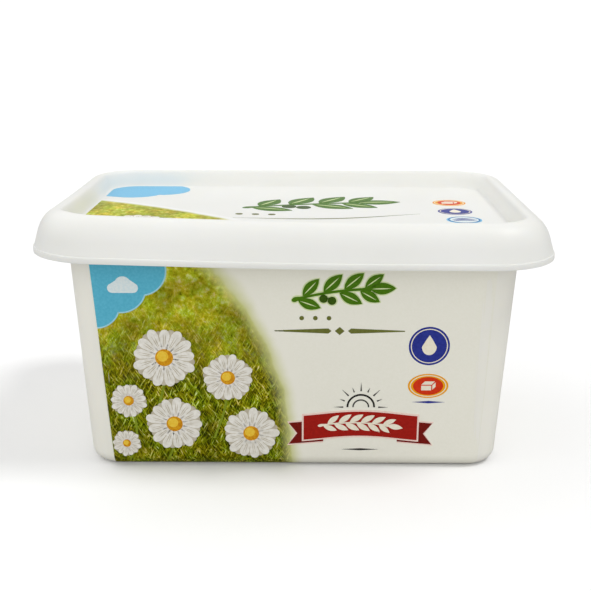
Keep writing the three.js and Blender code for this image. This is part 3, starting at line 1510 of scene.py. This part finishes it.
    def _ribbon(self, sheet: PrintSheet) -> None:
        """Lays the red ribbon with a cream sprig along it and a half sun over it."""
        sheet.lay_all("tail_edges", [self._tail(s, 0.55) for s in (-1, 1)], Finish.PALE_EDGE, 3)
        sheet.lay_all("tails", [self._tail(s, 0.0) for s in (-1, 1)], Finish.DARK_RED, 4)
        sheet.lay_all("ribbon_edge", [self._ribbon_edge(0.65)], Finish.PALE_EDGE, 5)
        sheet.lay_all("ribbon", [self._ribbon_edge(0.0)], Finish.RED, 6)
        x, y = self.ribbon_middle
        laurel = Sprig((x - 16.0, y + 0.9), (x + 11.0, y + 1.0), 2.6, 6.0, 2.2, 6, 30.0, 0.5)
        sheet.lay_all("laurel_stem", [laurel.stem()], Finish.CREAM, 7)
        sheet.lay_all("laurel_leaves", laurel.leaves(), Finish.CREAM, 8)
        self._half_sun(sheet, (x, y + self.ribbon_half[1] + 3.6))
        line = sharp_outline([(x - 7.0, 7.6), (x, 7.2), (x + 7.0, 7.6), (x, 8.0)])
        sheet.lay_all("foot_line", [line], Finish.DARK_LINE, 3)

    def _half_sun(self, sheet: PrintSheet, centre: Point) -> None:
        """Lays a half sun in dark line: two arcs and their rays."""
        parts = []
        for radius, width in ((5.4, 0.7), (3.2, 0.5)):
            parts.append(arc(centre, radius, 0, 180, 10) + arc(centre, radius - width, 180, 0, 10))
        rays, root, half = 9, 6.6, 0.28
        for step in range(rays):
            tip = 10.2 if step % 2 == 0 else 8.6
            turn = 180 / (rays - 1) * step
            ray = [(root, half), (tip, 0.0), (root, -half)]
            parts.append(sharp_outline([turned(place, turn, about=centre) for place in ray]))
        sheet.lay_all("half_sun", parts, Finish.DARK_LINE, 3)

    def _badges(self, sheet: PrintSheet) -> None:
        """Lays the two badges on the right and the short rule under them."""
        navy, amber, red, cream = Finish.NAVY, Finish.AMBER, Finish.ORANGE_RED, Finish.CREAM
        round_size, flat_size = (7.6, 7.6), (7.6, 4.9)
        for badge in (
            Badge("milk_badge", Motif.DROPLET, (50.2, 50.0), round_size, navy, navy, cream, 0.8),
            Badge(
                "block_badge", Motif.BLOCK, (50.4, 34.0), flat_size, amber, red, cream, 0.74, 0.95
            ),
        ):
            badge.lay(sheet, 2)
        rule = sharp_outline([(44.6, 27.4), (50.8, 26.9), (57.0, 27.4), (50.8, 27.9)])
        sheet.lay_all("badge_rule", [rule], navy, 2)

    def build(self) -> int:
        """Lays the whole front print.

        Returns:
            How many films it has.
        """
        sheet = PrintSheet(Face.FRONT, self.tub, "tub_plastic")
        self._film(sheet)
        self._meadow(sheet)
        self._sky(sheet)
        self._daisies(sheet)
        self._sprig(sheet)
        self._ribbon(sheet)
        self._badges(sheet)
        return sheet.count


@dataclass
class LidPrint:
    """The lid's panel: the same sky, meadow and sprig as the front, and three small badges."""

    lid: bpy.types.Object
    half_length: float = 81.5
    half_width: float = 53.5
    corner: float = 11.2

    def _corner(self, side: int, start: float, end: float) -> list[Knot]:
        """Walks round a left corner of the panel, the near one for a side of minus one."""
        centre = (-self.half_length + self.corner, side * (self.half_width - self.corner))
        return arc(centre, self.corner, start, end, 5)

    def _meadow(self, sheet: PrintSheet) -> None:
        """Lays the meadow in the near left corner, whose far edge fades out."""
        hill = Finish.LID_MEADOW.value.hill
        radius = hill.reach[0] * 1.012
        start = math.degrees(math.asin((-self.half_width - hill.centre[1]) / radius))
        end = math.degrees(math.acos((-self.half_length - hill.centre[0]) / radius))
        knots = self._corner(-1, 180, 270) + arc(hill.centre, radius, start, end, 12)
        sheet.lay_all("meadow", [knots], Finish.LID_MEADOW, 1, True)

    def _sky(self, sheet: PrintSheet) -> None:
        """Lays the scalloped corner of sky in the far left corner."""
        knots = scallops([((-60.0, 43.6), 13.0, 49.6, -76), ((-71.0, 37.0), 13.2, -25.5, -100)])
        knots.append(Knot(-self.half_length, knots[-1].y + 3.0, True))
        knots += self._corner(1, 180, 90)
        sheet.lay_all("sky", [knots], Finish.LID_BLUE, 2, True)

    def _sprig(self, sheet: PrintSheet) -> None:
        """Lays the sprig over the panel's middle, and the beads and the bowed rule before it."""
        sprig = Sprig((-21.0, 2.5), (27.0, 15.5), 4.0, 19.0, 9.0, 4, 40.0, 2.2, 3.0)
        sheet.lay_all("sprig_stem", [sprig.stem()], Finish.LEAF_GREEN, 1, True)
        sheet.lay_all("sprig_leaves", sprig.leaves(), Finish.LEAF_GREEN, 2, True)
        sheet.lay_all("sprig_olives", sprig.olives(), Finish.LEAF_SHADE, 3, True)
        sheet.lay_all("sprig_ribs", sprig.leaves(rib=True), Finish.LEAF_HALO, 4, True)
        beads = [dot((x, -11.5), 1.5, steps=10) for x in (-22.0, -15.5, -9.0)]
        sheet.lay_all("beads", beads, Finish.OLIVE_LINE, 1)
        start, end = Knot(-24.0, -19.6, True), Knot(50.2, -8.0, True)
        rule = [start, Knot(13.9, -17.9), end, Knot(13.9, -19.1)]
        sheet.lay_all("rule", [rule], Finish.OLIVE_LINE, 1, True)

    def _badges(self, sheet: PrintSheet) -> None:
        """Lays the three small badges on the right."""
        navy, amber, red, cream = Finish.NAVY, Finish.AMBER, Finish.ORANGE_RED, Finish.CREAM
        blue, white, size = Finish.LID_BLUE, Finish.CLOUD_WHITE, (6.9, 6.5)
        for badge in (
            Badge("block_badge", Motif.BLOCK, (64.9, 15.9), size, amber, red, cream, 0.7, 0.95),
            Badge("milk_badge", Motif.DROPLET, (64.9, -2.6), size, navy, navy, cream, 0.8),
            Badge("swell_badge", Motif.SWELL, (66.2, -19.5), size, blue, white, navy, 0.8),
        ):
            badge.lay(sheet, 1)

    def build(self) -> int:
        """Lays the whole lid print.

        Returns:
            How many films it has.
        """
        sheet = PrintSheet(Face.LID, self.lid, "lid_plastic")
        self._meadow(sheet)
        self._sky(sheet)
        daisies = [
            Daisy((-60.0, -29.0), 9.6, (-62.0, -50.0), 12.0),
            Daisy((-40.0, -38.0), 7.6, (-42.0, -52.0), 33.0),
            Daisy((-74.0, -42.0), 5.6, (-72.0, -51.0), 50.0),
        ]
        lay_daisies(sheet, daisies, 2)
        self._sprig(sheet)
        self._badges(sheet)
        return sheet.count


@dataclass(frozen=True)
class Softbox:
    """A broad soft light in the surround, strongest in one direction.

    Its tightness is the power that it falls off by, or the key light's width in degrees.
    """

    azimuth: float
    elevation: float
    tightness: float
    strength: float

    def direction(self) -> Vector:
        """Gives the way to the light, whose azimuth runs from the front to the right."""
        azimuth, elevation = math.radians(self.azimuth), math.radians(self.elevation)
        level = math.cos(elevation)
        return Vector((math.sin(azimuth) * level, -math.cos(azimuth) * level, math.sin(elevation)))


@dataclass
class Studio:
    """The pale floor, the soft light and the camera of a pack shot."""

    target: tuple[float, float, float] = (0.44, 0.0, 54.25)
    distance: float = 446.0
    yaw: float = -0.28
    pitch: float = 15.66
    roll: float = 0.16
    focal_pixels: float = 1071.0
    image_pixels: float = 591.0
    sensor_width: float = 36.0
    floor_size: float = 60.0
    bounce: float = 0.5
    backdrop: float = 1.1
    key: Softbox = Softbox(78.0, 61.0, 18.0, 1.0)
    surround: tuple[Softbox, ...] = (
        Softbox(180.0, 40.0, 4.0, 0.96),
        Softbox(0.0, 6.0, 4.0, 1.98),
        Softbox(-90.0, 36.0, 4.0, 1.56),
        Softbox(90.0, 24.0, 4.0, 0.9),
    )

    def _floor(self) -> None:
        """Lays the plain pale floor, which throws back less light than it shows."""
        bpy.ops.object.select_all(action="DESELECT")
        bpy.ops.mesh.primitive_plane_add(size=self.floor_size)
        floor = bpy.context.object
        floor.name = "studio_floor"
        material, shader = start_material("matt_white_floor")
        tree = material.node_tree
        seen = add_node(tree, "ShaderNodeLightPath").outputs["Is Camera Ray"]
        white = add_node(tree, "ShaderNodeMapRange", {"Value": seen, "To Min": self.bounce})
        wire(shader, {"Base Color": white, "Roughness": 0.9, "Specular IOR Level": 0.1})
        floor.data.materials.append(material)

    def _key_light(self) -> None:
        """Hangs the broad key light high on the right."""
        bpy.ops.object.light_add(type="SUN")
        key = bpy.context.object
        key.name = "key_light"
        key.data.energy = self.key.strength
        key.data.angle = math.radians(self.key.tightness)
        key.rotation_euler = (-self.key.direction()).to_track_quat("-Z", "Y").to_euler()

    def _surround_light(self) -> None:
        """Makes the world's light: softboxes all round, behind a white backdrop."""
        world = bpy.data.worlds.new("soft_surround")
        bpy.context.scene.world = world
        world.use_nodes = True
        tree = world.node_tree
        tree.nodes.clear()
        way = add_node(tree, "ShaderNodeTexCoord").outputs["Generated"]
        total: float | bpy.types.Node = 0.0
        for box in self.surround:
            aim = {0: way, 1: box.direction()}
            facing = add_node(tree, "ShaderNodeVectorMath", aim, operation="DOT_PRODUCT")
            lit = add_node(tree, "ShaderNodeMath", {0: facing, 1: 0.0}, operation="MAXIMUM")
            soft = add_node(tree, "ShaderNodeMath", {0: lit, 1: box.tightness}, operation="POWER")
            summed = {0: soft, 1: box.strength, 2: total}
            total = add_node(tree, "ShaderNodeMath", summed, operation="MULTIPLY_ADD")
        seen = add_node(tree, "ShaderNodeLightPath").outputs["Is Camera Ray"]
        levels = {"Value": seen, "To Min": total, "To Max": self.backdrop}
        glow = {"Color": (1, 1, 1, 1), "Strength": add_node(tree, "ShaderNodeMapRange", levels)}
        light = add_node(tree, "ShaderNodeBackground", glow)
        add_node(tree, "ShaderNodeOutputWorld", {"Surface": light})

    def _camera(self) -> None:
        """Sets the camera where the photograph was taken from."""
        yaw, pitch, roll = (math.radians(a) for a in (self.yaw, self.pitch, self.roll))
        level = math.cos(pitch)
        forward = Vector((math.sin(yaw) * level, math.cos(yaw) * level, -math.sin(pitch)))
        right = Vector((math.cos(yaw), -math.sin(yaw), 0))
        up = right.cross(forward)
        turned_right = right * math.cos(roll) + up * math.sin(roll)
        turned_up = up * math.cos(roll) - right * math.sin(roll)
        pose = Matrix((turned_right, turned_up, -forward)).transposed().to_4x4()
        pose.translation = Vector(self.target) * MM - forward * self.distance * MM
        bpy.ops.object.camera_add()
        camera = bpy.context.object
        camera.name = "pack_camera"
        camera.matrix_world = pose
        camera.data.sensor_width = self.sensor_width
        camera.data.lens = self.focal_pixels * self.sensor_width / self.image_pixels
        camera.data.clip_start = 0.01
        bpy.context.scene.camera = camera

    def build(self) -> None:
        """Sets up the floor, the light and the camera."""
        self._floor()
        self._key_light()
        self._surround_light()
        self._camera()
        bpy.context.scene.view_settings.view_transform = "Standard"


def main() -> None:
    """Builds the pack piece by piece, then the studio round it."""
    logging.basicConfig(level=logging.INFO, format="%(name)s: %(message)s")
    Studio().build()
    lid = Lid().build()
    tub = Tub().build()
    for printed in (FrontPrint(tub), LidPrint(lid)):
        LOG.info("%s: %d films", type(printed).__name__, printed.build())


if __name__ == "__main__":
    main()
